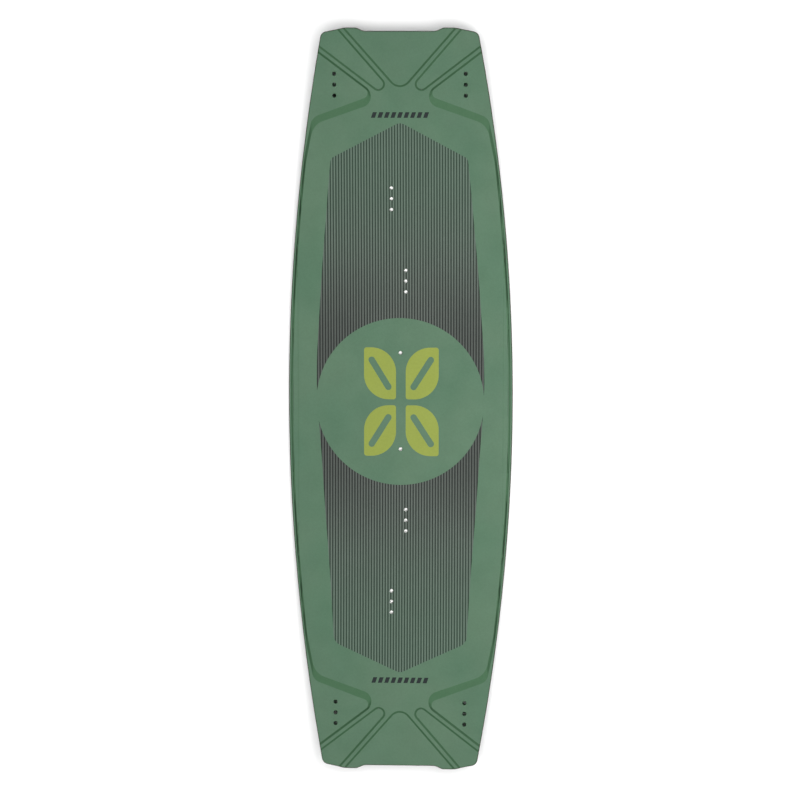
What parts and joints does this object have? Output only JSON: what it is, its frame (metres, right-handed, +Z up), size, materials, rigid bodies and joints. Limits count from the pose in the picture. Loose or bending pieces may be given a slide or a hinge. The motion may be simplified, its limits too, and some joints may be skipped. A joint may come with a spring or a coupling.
{
  "type": "kiteboard",
  "caption": "Bare twin-tip kiteboard with a moulded contoured deck, dark rails, and empty footpad, handle and fin bolt holes.",
  "frame": {"origin": "under the middle of the base, at the lowest point of the board lying deck up", "axes": "+X across the board, +Y along its length towards the front tip, +Z up out of the deck"},
  "size_m": [0.4162, 1.3792, 0.0458],
  "materials": {
    "deck_skin": "matte moulded green top sheet with a printed panel",
    "base_skin": "satin dark green base sheet",
    "fibre": "resin and black fibre laminate",
    "wood_core": "bare lengthwise wood staves",
    "block_fibre": "dense wood-fibre insert block",
    "block_plastic": "black plastic fin block",
    "rail": "dark satin plastic rail",
    "insert_metal": "bright turned steel"
  },
  "bodies": {
    "root": {"base_sheet": "base_skin", "core": "wood_core", "deck_sheet": "deck_skin", "fin_block_front_left": "block_plastic", "fin_block_front_right": "block_plastic", "fin_block_rear_left": "block_plastic", "fin_block_rear_right": "block_plastic", "handle_block_front": "block_fibre", "handle_block_rear": "block_fibre", "handle_insert_front": "insert_metal", "handle_insert_rear": "insert_metal", "laminate_lower": "fibre", "laminate_upper": "fibre", "pad_block_front_inner": "block_fibre", "pad_block_front_outer": "block_fibre", "pad_block_rear_inner": "block_fibre", "pad_block_rear_outer": "block_fibre", "pad_insert_front_inner_1": "insert_metal", "pad_insert_front_inner_2": "insert_metal", "pad_insert_front_inner_3": "insert_metal", "pad_insert_front_outer_1": "insert_metal", "pad_insert_front_outer_2": "insert_metal", "pad_insert_front_outer_3": "insert_metal", "pad_insert_rear_inner_1": "insert_metal", "pad_insert_rear_inner_2": "insert_metal", "pad_insert_rear_inner_3": "insert_metal", "pad_insert_rear_outer_1": "insert_metal", "pad_insert_rear_outer_2": "insert_metal", "pad_insert_rear_outer_3": "insert_metal", "rail_left": "rail", "rail_right": "rail", "rail_tip_front": "rail", "rail_tip_rear": "rail"}
  },
  "joints": []
}
